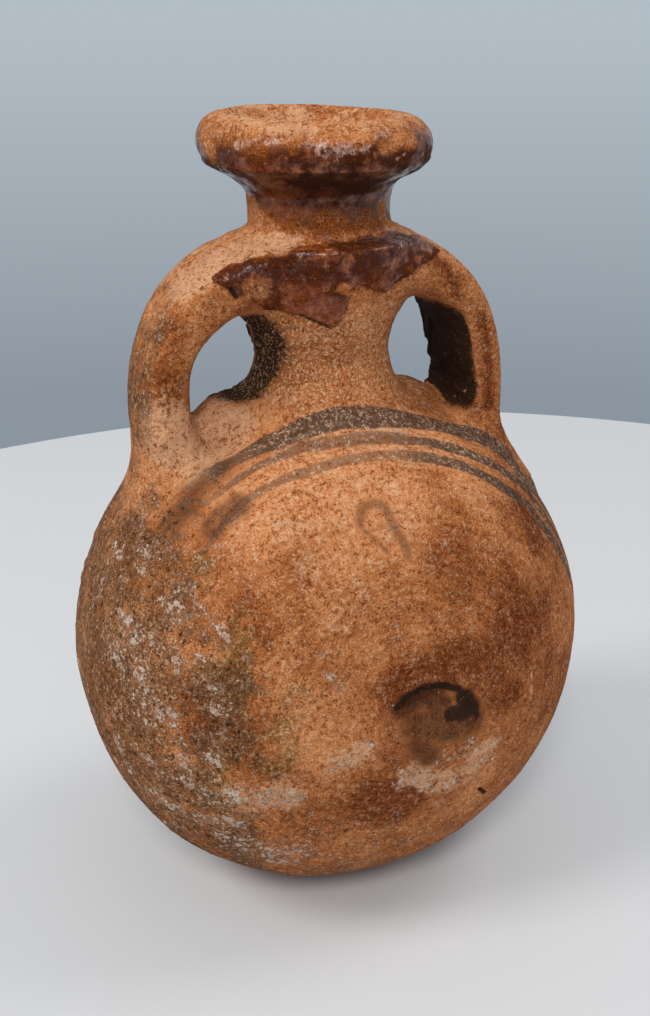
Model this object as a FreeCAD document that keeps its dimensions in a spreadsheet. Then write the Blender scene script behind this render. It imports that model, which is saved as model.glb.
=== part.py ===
"""Small fired clay pilgrim flask, in millimetres.

The round belly is two thrown bowls, joined rim to rim on the plane y = 0. The neck tube passes
through a hole in both bowls, a flared coil of clay seals its root, and the mouth with its rolled
lip sits on its top. A collar round the neck carries the two strap handles, whose feet are
shaped to the shoulders of the belly. Neighbouring pieces are one luting gap apart.

X runs from handle to handle, the painted face looks along -Y and +Z is up. The origin is the
lowest point of the belly.
"""
import FreeCAD, Part
import Sketcher
import math
import os

Vector = FreeCAD.Vector

SIZES = (
    ("body_radius", 43.4, "belly, half its width and half its height"),
    ("body_half_depth", 33.7, "belly, centre to the middle of a face"),
    ("face_radius", 90.0, "curve of the face, near its middle"),
    ("edge_radius", 108.0, "flat curve across the rim of the belly"),
    ("edge_band", 4.1, "where that flat curve ends, from the plane of the seam"),
    ("wall", 4.5, "wall of both bowls"),
    ("luting_gap", 0.1, "slip-filled gap between neighbouring pieces"),
    ("overrun", 2.0, "how far every cut runs past what it cuts"),
    ("neck_offset", 1.4, "neck axis, towards the left handle"),
    ("neck_radius", 11.2, "outside of the neck"),
    ("bore_radius", 6.5, "straight hole down the neck and mouth"),
    ("neck_rise", 31.6, "top of the neck above the top of the belly"),
    ("neck_tuck", 2.3, "neck below the inner face of the belly's top"),
    ("flare_radius", 16.0, "hollow curve of the coil at the neck's root"),
    ("coil_radius", 16.4, "outside of the coil"),
    ("coil_edge", 0.5, "thickness of the coil's upper edge"),
    ("coil_depth", 9.0, "coil blank below the top of the belly"),
    ("mouth_shift", 1.0, "mouth axis from the neck axis, towards the left handle"),
    ("lip_radius", 17.5, "outside of the rolled lip"),
    ("lip_rise", 43.3, "crest of the lip above the top of the belly"),
    ("roll_radius", 3.95, "round section of the lip"),
    ("undercut_depth", 7.5, "crest of the lip to the undercut below it"),
    ("dish_radius", 10.8, "upper edge of the mouth's inner dish"),
    ("dish_depth", 8.6, "crest of the lip to the foot of the dish"),
    ("collar_rise", 24.6, "ridge of the collar above the top of the belly"),
    ("collar_radius", 14.5, "ridge of the collar"),
    ("collar_band", 1.4, "height of the band at the ridge"),
    ("collar_cap", 1.2, "ridge band to the collar's upper edge"),
    ("collar_skirt", 10.0, "ridge band to the collar's lower edge"),
    ("collar_edge", 0.6, "thickness of the collar's upper and lower edges"),
    ("strap_inset", 16.7, "middle of an upright strap, inside the belly's widest part"),
    ("strap_drop", 2.8, "springing of the arch below the top of the belly"),
    ("arch_drop", 1.3, "middle of the arch's top below the collar's ridge"),
    ("strap_thickness", 7.8, "strap, across its flat"),
    ("strap_width", 16.0, "strap, front to back"),
    ("strap_root", 7.0, "start of the strap from the neck axis"),
    ("root_swell", 1.6, "thickening under the strap where it meets the collar"),
    ("foot_swell", 5.0, "thickening inside the strap where it meets the belly"),
    ("swell_start", 6.0, "start of the foot's thickening above the springing"),
    ("swell_end", 7.0, "full thickening of the foot below the springing"),
    ("left_tail_length", 20.0, "left strap below the springing of the arch"),
    ("left_tail_lean", 6.2, "how far the left tail leans out at its end"),
    ("right_tail_length", 14.0, "right strap below the springing of the arch"),
    ("right_tail_lean", 5.0, "how far the right tail leans out at its end"),
)

# Shape of the straps: the arch and the section both have fuller corners than an ellipse
ARCH_EXPONENT = 2.56
SECTION_EXPONENT = 2.8
SECTION_POINTS = 16
ARCH_STATIONS = 9
TAIL_STATIONS = 4
FLARE_POWER = 5
COLLAR_FLARE_SHARE = 0.32
FOOT_FLARE_SHARE = 0.20
BEND_THIN_SHARE = 0.14
TAIL_THIN_SHARE = 0.35

# Places that several pieces share, as sums of the named sizes
BODY_TOP = "2 * dim.body_radius"
RIM = "dim.luting_gap / 2"
NECK_FOOT = BODY_TOP + " - dim.wall - dim.neck_tuck"
NECK_TOP = BODY_TOP + " + dim.neck_rise"
ROUND_NECK = "dim.neck_radius + dim.luting_gap"
LIP_CREST = BODY_TOP + " + dim.lip_rise"
UNDERCUT = LIP_CREST + " - dim.undercut_depth"
DISH_FOOT = LIP_CREST + " - dim.dish_depth"
ROLL_RING = "dim.lip_radius - dim.roll_radius"
ROLL_HEIGHT = LIP_CREST + " - dim.roll_radius"
BAND_LOW = BODY_TOP + " + dim.collar_rise - dim.collar_band / 2"
BAND_HIGH = BODY_TOP + " + dim.collar_rise + dim.collar_band / 2"
COLLAR_FOOT = BAND_LOW + " - dim.collar_skirt"
COLLAR_TOP = BAND_HIGH + " + dim.collar_cap"
COIL_FOOT = BODY_TOP + " - dim.coil_depth"
FLARE_ACROSS = "dim.neck_radius + dim.flare_radius"
FLARE_HEIGHT = ("dim.body_radius + sqrt((dim.body_radius + dim.flare_radius)^2"
                " - (dim.neck_radius + dim.flare_radius)^2)")

doc = FreeCAD.newDocument("flask")
sheet = doc.addObject("Spreadsheet::Sheet", "dim")
for row, (alias, millimetres, meaning) in enumerate(SIZES, start=1):
    sheet.set("A%d" % row, meaning)
    sheet.set("B%d" % row, str(millimetres))
    sheet.setAlias("B%d" % row, alias)
doc.recompute()


def measure(total):
    """The value of a sum of named sizes."""
    return float(sheet.evalExpression(total))


def new_body(label):
    body = doc.addObject("PartDesign::Body", label)
    body.Label = label
    return body


def origin_plane(body, role):
    return [plane for plane in body.Origin.OriginFeatures if plane.Role == role][0]


def new_sketch(body, label, role, height=None):
    """A sketch on one of the body's own planes, or at a named height above it."""
    sketch = body.newObject("Sketcher::SketchObject", label)
    sketch.AttachmentSupport = [(origin_plane(body, role), "")]
    sketch.MapMode = "FlatFace"
    if height:
        sketch.setExpression("AttachmentOffset.Base.z", height)
    return sketch


def rule(sketch, kind, *where):
    sketch.addConstraint(Sketcher.Constraint(kind, *where))


def bind(sketch, kind, where, total):
    """A dimension of the sketch that follows a sum of named sizes."""
    index = sketch.addConstraint(Sketcher.Constraint(kind, *where, measure(total)))
    sketch.setExpression("Constraints[%d]" % index, total)


def pin(sketch, kind, geometry, point, total):
    """Hold a point at a distance from the sketch's origin, on either side of it."""
    distance = measure(total)
    if distance == 0:
        rule(sketch, "PointOnObject", geometry, point, -2 if kind == "DistanceX" else -1)
    elif distance > 0:
        bind(sketch, kind, (-1, 1, geometry, point), total)
    else:
        bind(sketch, kind, (geometry, point, -1, 1), "-(%s)" % total)


def circle(sketch, across, radius):
    """A circle on the sketch's horizontal axis."""
    centre = Vector(measure(across), 0, 0)
    ring = sketch.addGeometry(Part.Circle(centre, Vector(0, 0, 1), measure(radius)))
    pin(sketch, "DistanceX", ring, 3, across)
    pin(sketch, "DistanceY", ring, 3, "0")
    bind(sketch, "Radius", (ring,), radius)


def polygon(sketch, corners):
    """A closed outline through corners, each a pair of sums of named sizes."""
    spots = [Vector(measure(across), measure(up), 0) for across, up in corners]
    count = len(spots)
    for index in range(count):
        sketch.addGeometry(Part.LineSegment(spots[index], spots[(index + 1) % count]))
    for index, (across, up) in enumerate(corners):
        rule(sketch, "Coincident", index, 2, (index + 1) % count, 1)
        pin(sketch, "DistanceX", index, 1, across)
        pin(sketch, "DistanceY", index, 1, up)


def feature(body, kind, label, sketch, before=None, **settings):
    """Add a feature made from a sketch, and see that it changed the solid as it should."""
    made = body.newObject("PartDesign::" + kind, label)
    made.Profile = sketch
    if kind in ("Revolution", "Groove"):
        made.ReferenceAxis = (sketch, ["V_Axis"])
        made.Angle = 360
    for name, value in settings.items():
        setattr(made, name, value)
    doc.recompute()
    if before is not None:
        change = made.Shape.Volume - before.Shape.Volume
        removes = kind in ("Groove", "Pocket")
        if (change >= 0) if removes else (change <= 0):
            raise RuntimeError("%s changed its body's volume the wrong way" % label)
    return made


def shoulder_arc(face, face_radius, edge, edge_radius):
    """Centre and radius of the arc that leaves the edge arc at the edge band and runs smoothly
    into the face arc."""
    rise = measure("dim.edge_band") / edge_radius
    outward = Vector(math.sqrt(1 - rise ** 2), rise, 0)
    start = edge + outward * edge_radius
    reach = start - face
    radius = (face_radius ** 2 - reach.dot(reach)) / (2 * (face_radius - reach.dot(outward)))
    return start - outward * radius, radius


def turn(centre, point):
    return math.atan2(point.y - centre.y, point.x - centre.x)


def dome_outline(sketch, grow, base):
    """Half of the belly's outline, from the middle of a face to its edge.

    Three arcs, each tangent to the next, are moved outwards by grow and closed at base, a depth
    from the plane of the seam.
    """
    face_radius = measure("dim.face_radius")
    edge_radius = measure("dim.edge_radius")
    face = Vector(0, measure("dim.body_half_depth - dim.face_radius"), 0)
    edge = Vector(measure("dim.body_radius - dim.edge_radius"), 0, 0)
    shoulder, shoulder_radius = shoulder_arc(face, face_radius, edge, edge_radius)
    outward = measure(grow)
    rim_turn = math.asin(measure(base) / (edge_radius + outward))
    arcs = (
        (face, face_radius, turn(face, shoulder), math.pi / 2),
        (shoulder, shoulder_radius, turn(edge, shoulder), turn(face, shoulder)),
        (edge, edge_radius, rim_turn, turn(edge, shoulder)),
    )
    for centre, radius, start, end in arcs:
        whole = Part.Circle(centre, Vector(0, 0, 1), radius + outward)
        sketch.addGeometry(Part.ArcOfCircle(whole, start, end))
    pole = sketch.Geometry[0].EndPoint
    rim = sketch.Geometry[2].StartPoint
    foot = Vector(0, rim.y, 0)
    sketch.addGeometry(Part.LineSegment(rim, foot))
    sketch.addGeometry(Part.LineSegment(foot, pole))
    rule(sketch, "Tangent", 0, 1, 1, 2)
    rule(sketch, "Tangent", 1, 1, 2, 2)
    rule(sketch, "Coincident", 2, 1, 3, 1)
    rule(sketch, "Coincident", 3, 2, 4, 1)
    rule(sketch, "Coincident", 4, 2, 0, 2)
    rule(sketch, "Horizontal", 3)
    rule(sketch, "Vertical", 4)
    pin(sketch, "DistanceX", 3, 2, "0")
    pin(sketch, "DistanceX", 0, 3, "0")
    pin(sketch, "DistanceY", 2, 3, "0")
    bind(sketch, "Radius", (0,), "dim.face_radius + (%s)" % grow)
    bind(sketch, "Radius", (2,), "dim.edge_radius + (%s)" % grow)
    pin(sketch, "DistanceY", 2, 2,
        "dim.edge_band * (dim.edge_radius + (%s)) / dim.edge_radius" % grow)
    pin(sketch, "DistanceX", 2, 3, "dim.body_radius - dim.edge_radius")
    pin(sketch, "DistanceY", 4, 2, "dim.body_half_depth + (%s)" % grow)
    pin(sketch, "DistanceY", 3, 2, base)


def bowl(label, facing):
    """One thrown bowl: a dome, its hollow and its half of the neck hole.

    facing is +1 or -1 along Y. The flat rim stops half a luting gap short of the seam.
    """
    body = new_body(label)
    outer = new_sketch(body, label + "_outer", "XY_Plane")
    dome_outline(outer, "0", RIM)
    dome = feature(body, "Revolution", label + "_dome", outer)
    inner = new_sketch(body, label + "_inner", "XY_Plane")
    dome_outline(inner, "-dim.wall", RIM + " - dim.overrun")
    hollow = feature(body, "Groove", label + "_hollow", inner, dome)
    opening = new_sketch(body, label + "_opening", "XY_Plane")
    circle(opening, "%d * dim.neck_offset" % -facing, ROUND_NECK)
    feature(body, "Pocket", label + "_neck_hole", opening, hollow,
            Type="ThroughAll", Reversed=True)
    body.setExpression("Placement.Base.z", "dim.body_radius")
    if facing < 0:
        body.setExpression("Placement.Rotation.Angle", "180")
    return body


def belly_form():
    """The whole belly, one luting gap larger: what the coil and the handles are shaped to."""
    body = new_body("belly_form")
    outline = new_sketch(body, "belly_outline", "XY_Plane")
    dome_outline(outline, "dim.luting_gap", "0")
    half = feature(body, "Revolution", "belly_half", outline)
    other = body.newObject("PartDesign::Mirrored", "belly_other_half")
    other.Originals = [half]
    other.MirrorPlane = (origin_plane(body, "XZ_Plane"), [""])
    body.Tip = other
    body.setExpression("Placement.Base.z", "dim.body_radius")
    return body


def neck_tube():
    """A straight tube from just inside the belly to the foot of the mouth."""
    body = new_body("neck_tube")
    ring = new_sketch(body, "neck_ring", "XY_Plane", NECK_FOOT)
    circle(ring, "0", "dim.neck_radius")
    circle(ring, "0", "dim.bore_radius")
    tube = feature(body, "Pad", "neck_wall", ring)
    tube.setExpression("Length", "(%s) - (%s)" % (NECK_TOP, NECK_FOOT))
    body.setExpression("Placement.Base.x", "-dim.neck_offset")
    return body


def root_coil(belly):
    """The coil that seals the neck's root: hollow outside, and shaped to the belly below."""
    body = new_body("root_coil_blank")
    profile = new_sketch(body, "coil_profile", "XZ_Plane")
    lip = ROUND_NECK + " + dim.coil_edge"
    centre = Vector(measure(FLARE_ACROSS), measure(FLARE_HEIGHT), 0)
    radius = measure("dim.flare_radius")
    upper = math.pi + math.acos((centre.x - measure(lip)) / radius)
    lower = math.pi + math.acos((centre.x - measure("dim.coil_radius")) / radius)
    whole = Part.Circle(centre, Vector(0, 0, 1), radius)
    profile.addGeometry(Part.ArcOfCircle(whole, upper, lower))
    top = profile.Geometry[0].StartPoint
    bottom = profile.Geometry[0].EndPoint
    inner_top = Vector(measure(ROUND_NECK), top.y, 0)
    inner_foot = Vector(measure(ROUND_NECK), measure(COIL_FOOT), 0)
    outer_foot = Vector(bottom.x, measure(COIL_FOOT), 0)
    for start, end in ((top, inner_top), (inner_top, inner_foot), (inner_foot, outer_foot),
                       (outer_foot, bottom)):
        profile.addGeometry(Part.LineSegment(start, end))
    rule(profile, "Coincident", 0, 1, 1, 1)
    rule(profile, "Coincident", 1, 2, 2, 1)
    rule(profile, "Coincident", 2, 2, 3, 1)
    rule(profile, "Coincident", 3, 2, 4, 1)
    rule(profile, "Coincident", 4, 2, 0, 2)
    rule(profile, "Horizontal", 1)
    rule(profile, "Vertical", 2)
    rule(profile, "Horizontal", 3)
    rule(profile, "Vertical", 4)
    pin(profile, "DistanceX", 0, 3, FLARE_ACROSS)
    pin(profile, "DistanceY", 0, 3, FLARE_HEIGHT)
    bind(profile, "Radius", (0,), "dim.flare_radius")
    pin(profile, "DistanceX", 0, 1, lip)
    pin(profile, "DistanceX", 2, 1, ROUND_NECK)
    pin(profile, "DistanceY", 3, 1, COIL_FOOT)
    pin(profile, "DistanceX", 4, 1, "dim.coil_radius")
    feature(body, "Revolution", "coil_ring", profile)
    body.setExpression("Placement.Base.x", "-dim.neck_offset")
    return cut("root_coil", body, belly)


def mouth():
    """A skewed funnel from the neck to a rolled lip, with a dish inside that leads to the bore."""
    body = new_body("mouth")
    seat = new_sketch(body, "mouth_seat", "XY_Plane", NECK_TOP + " + dim.luting_gap")
    circle(seat, "dim.mouth_shift", "dim.neck_radius")
    under = new_sketch(body, "mouth_undercut", "XY_Plane", UNDERCUT)
    chord = "sqrt(dim.roll_radius^2 - (dim.undercut_depth - dim.roll_radius)^2)"
    circle(under, "0", ROLL_RING + " + " + chord)
    doc.recompute()
    funnel = feature(body, "AdditiveLoft", "mouth_funnel", seat, Sections=[under], Ruled=True)
    section = new_sketch(body, "lip_section", "XZ_Plane")
    roll_outline(section)
    rolled = feature(body, "Revolution", "mouth_roll", section, funnel)
    hollow = new_sketch(body, "dish_section", "XZ_Plane")
    dish_foot = "dim.bore_radius + dim.mouth_shift"
    rim = ROLL_HEIGHT + " + sqrt(dim.roll_radius^2 - (%s - dim.dish_radius)^2)" % ROLL_RING
    above = LIP_CREST + " + dim.overrun"
    polygon(hollow, (("0", DISH_FOOT), (dish_foot, DISH_FOOT), ("dim.dish_radius", rim),
                     ("dim.dish_radius", above), ("0", above)))
    dished = feature(body, "Groove", "mouth_dish", hollow, rolled)
    bore = new_sketch(body, "mouth_bore_circle", "XY_Plane")
    circle(bore, "dim.mouth_shift", "dim.bore_radius")
    feature(body, "Pocket", "mouth_bore", bore, dished, Type="ThroughAll", Reversed=True)
    body.setExpression("Placement.Base.x", "-dim.neck_offset - dim.mouth_shift")
    return body


def roll_outline(sketch):
    """The round lip from its undercut over the crest to the dish, closed across the axis."""
    radius = measure("dim.roll_radius")
    centre = Vector(measure(ROLL_RING), measure(ROLL_HEIGHT), 0)
    start = -math.asin((centre.y - measure(UNDERCUT)) / radius)
    end = math.pi - math.acos((centre.x - measure("dim.dish_radius")) / radius)
    whole = Part.Circle(centre, Vector(0, 0, 1), radius)
    sketch.addGeometry(Part.ArcOfCircle(whole, start, end))
    outer = sketch.Geometry[0].StartPoint
    inner = sketch.Geometry[0].EndPoint
    inner_axis = Vector(0, inner.y, 0)
    outer_axis = Vector(0, outer.y, 0)
    for first, second in ((inner, inner_axis), (inner_axis, outer_axis), (outer_axis, outer)):
        sketch.addGeometry(Part.LineSegment(first, second))
    rule(sketch, "Coincident", 0, 2, 1, 1)
    rule(sketch, "Coincident", 1, 2, 2, 1)
    rule(sketch, "Coincident", 2, 2, 3, 1)
    rule(sketch, "Coincident", 3, 2, 0, 1)
    rule(sketch, "Horizontal", 1)
    rule(sketch, "Horizontal", 3)
    pin(sketch, "DistanceX", 1, 2, "0")
    pin(sketch, "DistanceX", 2, 2, "0")
    bind(sketch, "Radius", (0,), "dim.roll_radius")
    pin(sketch, "DistanceX", 0, 3, ROLL_RING)
    pin(sketch, "DistanceY", 0, 3, ROLL_HEIGHT)
    pin(sketch, "DistanceY", 3, 1, UNDERCUT)
    pin(sketch, "DistanceX", 0, 2, "dim.dish_radius")


def collar_side(grow):
    """The collar's outside, from its foot to its top, moved outwards by grow."""
    edge = ROUND_NECK + " + dim.collar_edge + " + grow
    ridge = "dim.collar_radius + " + grow
    return ((edge, "%s - %s" % (COLLAR_FOOT, grow)), (ridge, BAND_LOW), (ridge, BAND_HIGH),
            (edge, "%s + %s" % (COLLAR_TOP, grow)))


def neck_collar():
    """The ring round the neck that the straps are pressed on to."""
    body = new_body("neck_collar")
    profile = new_sketch(body, "collar_profile", "XZ_Plane")
    inside = ((ROUND_NECK, COLLAR_TOP), (ROUND_NECK, COLLAR_FOOT))
    polygon(profile, collar_side("0") + inside)
    feature(body, "Revolution", "collar_ring", profile)
    body.setExpression("Placement.Base.x", "-dim.neck_offset")
    return body


def neck_form():
    """Neck and collar as one solid, one luting gap larger: what the straps are shaped to."""
    body = new_body("neck_form")
    profile = new_sketch(body, "neck_form_profile", "XZ_Plane")
    side = collar_side("dim.luting_gap")
    below = (("0", BODY_TOP), (ROUND_NECK, BODY_TOP), (ROUND_NECK, side[0][1]))
    above = ((ROUND_NECK, side[-1][1]), (ROUND_NECK, NECK_TOP), ("0", NECK_TOP))
    polygon(profile, below + side + above)
    feature(body, "Revolution", "neck_form_solid", profile)
    body.setExpression("Placement.Base.x", "-dim.neck_offset")
    return body


def coil_form():
    """A blunt cone over the coil, so that a strap set close to the neck is cut clear of it."""
    body = new_body("coil_form")
    profile = new_sketch(body, "coil_form_profile", "XZ_Plane")
    side = "dim.coil_radius + dim.luting_gap"
    polygon(profile, (("0", COIL_FOOT), (side, COIL_FOOT), (side, BODY_TOP),
                      (ROUND_NECK, FLARE_HEIGHT), ("0", FLARE_HEIGHT)))
    feature(body, "Revolution", "coil_form_solid", profile)
    body.setExpression("Placement.Base.x", "-dim.neck_offset")
    return body


def arch_point(angle, reach, rise):
    """A point of the quarter superellipse, at an angle from level, and its outward normal."""
    power = ARCH_EXPONENT
    stretch = (math.cos(angle) / reach) ** power + (math.sin(angle) / rise) ** power
    radius = stretch ** (-1 / power)
    across = radius * math.cos(angle)
    height = radius * math.sin(angle)
    normal = Vector(across ** (power - 1) / reach ** power, 0,
                    height ** (power - 1) / rise ** power)
    return across, height, normal.normalize()


def strap_stations(tail, lean):
    """Stations down a strap: a point of its middle line, the outward normal, how far the strap
    reaches out and in from there, and half its width.

    The arch is a quarter of a superellipse from the neck to its springing. The tail runs on down
    from there and leans out with the square of the way down. Heights are from the springing.
    """
    reach = measure("dim.body_radius - dim.strap_inset")
    root = measure("dim.strap_root")
    rise = measure("dim.collar_rise - dim.arch_drop + dim.strap_drop")
    half_thickness = measure("dim.strap_thickness / 2")
    half_width = measure("dim.strap_width / 2")
    root_swell = measure("dim.root_swell")
    root_height = rise * (1 - (root / reach) ** ARCH_EXPONENT) ** (1 / ARCH_EXPONENT)
    root_turn = math.atan2(root_height, root)
    stations = []
    for index in range(ARCH_STATIONS + 1):
        angle = root_turn * (1 - index / ARCH_STATIONS)
        across, height, normal = arch_point(angle, reach, rise)
        flare = (height / rise) ** FLARE_POWER
        thick = half_thickness * (1 - BEND_THIN_SHARE * math.sin(2 * angle))
        stations.append((across, height, normal, thick,
                         thick + root_swell * flare + foot_swell(height),
                         half_width * (1 + COLLAR_FLARE_SHARE * flare)))
    for index in range(1, TAIL_STATIONS + 1):
        share = index / TAIL_STATIONS
        normal = Vector(1, 0, 2 * lean * share / tail)
        thick = half_thickness * (1 - TAIL_THIN_SHARE * share ** 2)
        height = -tail * share
        stations.append((reach + lean * share ** 2, height, normal.normalize(), thick,
                         thick + foot_swell(height),
                         half_width * (1 + FOOT_FLARE_SHARE * share ** 2)))
    return stations


def foot_swell(height):
    """Extra clay inside the strap near its foot, at a height from the springing."""
    start = measure("dim.swell_start")
    share = (start - height) / (start + measure("dim.swell_end"))
    return measure("dim.foot_swell") * min(max(share, 0), 1) ** 2


def rounded(value, exponent):
    return math.copysign(abs(value) ** (2 / exponent), value)


def strap_section(side, springing, across, height, normal, outer, inner, half_width):
    """A closed superellipse across the strap."""
    middle = (outer - inner) / 2
    half_thickness = (outer + inner) / 2
    points = []
    for index in range(SECTION_POINTS):
        angle = 2 * math.pi * index / SECTION_POINTS
        out = middle + half_thickness * rounded(math.cos(angle), SECTION_EXPONENT)
        depth = half_width * rounded(math.sin(angle), SECTION_EXPONENT)
        points.append(Vector(side * (across + out * normal.x), depth,
                             springing + height + out * normal.z))
    curve = Part.BSplineCurve()
    curve.interpolate(points, PeriodicFlag=True)
    return Part.Wire([curve.toShape()])


def handle(label, side, tail, lean, seats):
    """A strap handle: one smooth strap, cut to fit the collar, the neck and the belly."""
    strap = doc.addObject("Part::Feature", label + "_strap")
    springing = measure(BODY_TOP + " - dim.strap_drop")
    stations = strap_stations(measure(tail), measure(lean))
    sections = [strap_section(side, springing, *station) for station in stations]
    strap.Shape = Part.makeLoft(sections, True, False)
    strap.Placement = FreeCAD.Placement(
        Vector(-measure("dim.neck_offset"), 0, 0), FreeCAD.Rotation())
    return cut(label, strap, seats)


def cut(label, base, tool):
    made = doc.addObject("Part::Cut", label)
    made.Base = base
    made.Tool = tool
    made.Label = label
    return made


def handle_seats(*forms):
    made = doc.addObject("Part::MultiFuse", "handle_seats")
    made.Shapes = forms
    return made


def check(nodes):
    """Stop if any object failed, or if a piece isn't one valid solid."""
    for item in doc.Objects:
        if "Invalid" in item.State or "Error" in item.State:
            raise RuntimeError("%s failed" % item.Label)
    for node in nodes:
        shape = node.Shape
        if shape.isNull() or not shape.isValid() or len(shape.Solids) != 1:
            raise RuntimeError("%s isn't one valid solid" % node.Label)


belly = belly_form()
seats = handle_seats(belly, neck_form(), coil_form())
nodes = [
    bowl("front_bowl", -1),
    bowl("back_bowl", 1),
    neck_tube(),
    root_coil(belly),
    mouth(),
    neck_collar(),
    handle("left_handle", -1, "dim.left_tail_length", "dim.left_tail_lean", seats),
    handle("right_handle", 1, "dim.right_tail_length", "dim.right_tail_lean", seats),
]
doc.recompute()
check(nodes)

os.makedirs("parts", exist_ok=True)
for node in nodes:
    node.Shape.exportStep("parts/%s.step" % node.Label)
    print("%s %.1f mm3" % (node.Label, node.Shape.Volume))
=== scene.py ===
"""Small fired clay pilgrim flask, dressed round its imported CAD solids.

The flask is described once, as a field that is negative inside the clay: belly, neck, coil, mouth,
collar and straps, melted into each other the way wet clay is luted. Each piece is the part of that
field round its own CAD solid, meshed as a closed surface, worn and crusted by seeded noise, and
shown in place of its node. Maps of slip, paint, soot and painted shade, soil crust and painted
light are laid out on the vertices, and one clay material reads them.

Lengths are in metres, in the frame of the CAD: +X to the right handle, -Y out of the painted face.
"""
import math

import bpy
import numpy as np
from mathutils import Matrix, Vector
from mathutils.bvhtree import BVHTree


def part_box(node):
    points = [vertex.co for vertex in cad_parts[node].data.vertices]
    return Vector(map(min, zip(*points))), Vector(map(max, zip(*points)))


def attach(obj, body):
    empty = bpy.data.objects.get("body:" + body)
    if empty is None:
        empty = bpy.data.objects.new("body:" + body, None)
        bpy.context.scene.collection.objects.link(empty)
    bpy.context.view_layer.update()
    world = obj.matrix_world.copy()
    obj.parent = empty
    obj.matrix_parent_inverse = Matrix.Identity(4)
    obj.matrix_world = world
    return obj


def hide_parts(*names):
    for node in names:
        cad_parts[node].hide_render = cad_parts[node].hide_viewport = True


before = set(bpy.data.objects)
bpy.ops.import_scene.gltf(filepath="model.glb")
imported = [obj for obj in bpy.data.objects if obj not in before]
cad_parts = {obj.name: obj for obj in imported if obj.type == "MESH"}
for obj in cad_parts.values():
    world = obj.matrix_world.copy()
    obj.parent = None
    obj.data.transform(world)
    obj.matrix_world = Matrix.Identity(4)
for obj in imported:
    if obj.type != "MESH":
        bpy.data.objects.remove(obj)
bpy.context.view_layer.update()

MM = 0.001

# Sizes, the main ones off the CAD


def node_box(node):
    low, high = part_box(node)
    return np.array(low), np.array(high)


belly_low, belly_high = node_box("front_bowl")
neck_low, neck_high = node_box("neck_tube")
coil_low, coil_high = node_box("root_coil")
mouth_low, mouth_high = node_box("mouth")
collar_low, collar_high = node_box("neck_collar")

BODY_R = (belly_high[0] - belly_low[0]) / 2
BODY_DEPTH = -belly_low[1]
FACE_R = 90 * MM
EDGE_R = 108 * MM
EDGE_BAND = 4.1 * MM
WALL = 4.5 * MM

NECK_X = (neck_low[0] + neck_high[0]) / 2
NECK_R = (neck_high[0] - neck_low[0]) / 2
NECK_WAIST = 0.9 * MM
WAIST_Z = neck_low[2] + 16 * MM
WAIST_SHIFT = 0.35 * MM
THROAT = 0.55 * MM
THROAT_Z = mouth_low[2] - 1.5 * MM
THROAT_SHIFT = -0.40 * MM
WAIST_LENGTH = 4 * MM
THROAT_LENGTH = 3 * MM
BORE_R = 6.5 * MM
FLARE_R = 16 * MM
COIL_R = (coil_high[0] - coil_low[0]) / 2
COIL_TUCK = 0.8 * MM

MOUTH_X = (mouth_low[0] + mouth_high[0]) / 2
LIP_R = (mouth_high[0] - mouth_low[0]) / 2
LIP_TOP = mouth_high[2]
ROLL_R = 3.95 * MM
FUNNEL_Z = mouth_low[2]
UNDERCUT_Z = LIP_TOP - 7.5 * MM
DISH_R = 12.9 * MM
DISH_Z = LIP_TOP - 4.6 * MM
LIP_TILT = math.radians(1.1)

RIDGE_R = (collar_high[0] - collar_low[0]) / 2
RIDGE_HIGH = collar_high[2] - 1.2 * MM
RIDGE_LOW = RIDGE_HIGH - 1.4 * MM
COLLAR_EDGE_R = NECK_R + 0.7 * MM
CAP_HOLLOW = 0.45 * MM

SPRING_Z = 2 * BODY_R - 2.8 * MM
STRAP_DROP = 2 * MM
STRAP_REACH = BODY_R - 16.7 * MM
STRAP_RISE = RIDGE_HIGH - STRAP_DROP - SPRING_Z
STRAP_ROOT = 7 * MM
STRAP_HALF = 3.9 * MM
STRAP_HALF_WIDTH = 8 * MM
ROOT_SWELL = 1.6 * MM
FOOT_SWELL = 5 * MM
SWELL_START = 6 * MM
SWELL_END = 7 * MM
ROOT_WIDER = 0.32
FOOT_WIDER = 0.20
FOOT_THINNER = 0.35
# Length of each tail and its lean, how far the strap bows out, the lump inside it with its height
# and reach, and how much thinner the strap is where it bends
TAILS = {"left": (20 * MM, 6.2 * MM, 0.0, (-0.9 * MM, 12 * MM, 6 * MM), -0.12),
         "right": (14 * MM, 5.4 * MM, 0.4 * MM, (1.9 * MM, 9 * MM, 8 * MM), 0.10)}
ARCH_POWER = 2.56
SECTION_POWER = 2.8
FLARE_POWER = 5
# Brings the highest thinning of a bend to the full amount
BEND_SCALE = 1.3
# Steps along the arch, the tail and the whole strap
ARCH_STEPS, TAIL_STEPS, STRAP_STEPS = 200, 100, 180

# How far wet clay runs together where two parts meet
LUTED_COIL = 1.5 * MM
LUTED_COLLAR = 0.8 * MM
LUTED_MOUTH = 0.4 * MM
LUTED_LIP = 0.8 * MM
LUTED_EYE = 2.5 * MM
# A strap's foot, its inside corner under the collar, and its root
STRAP_MELT_Z = (76 * MM, 88 * MM, 101 * MM, 107 * MM)
STRAP_MELT = (5.2 * MM, 6.0 * MM, 6.0 * MM, 1.2 * MM)
FUNNEL_CURVE = 1.6
# How far the funnel runs on, as a share of its height, how far it ends inside the lip's roll, and
# what brings its slanting side back to a distance
FUNNEL_OVERRUN = 1.3
FUNNEL_TUCK = 1.4 * MM
FUNNEL_SLANT = 0.72

# The slow unevenness of a hand-made pot
SLOW_WOBBLE = 0.28 * MM
QUICK_WOBBLE = 0.12 * MM
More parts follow.
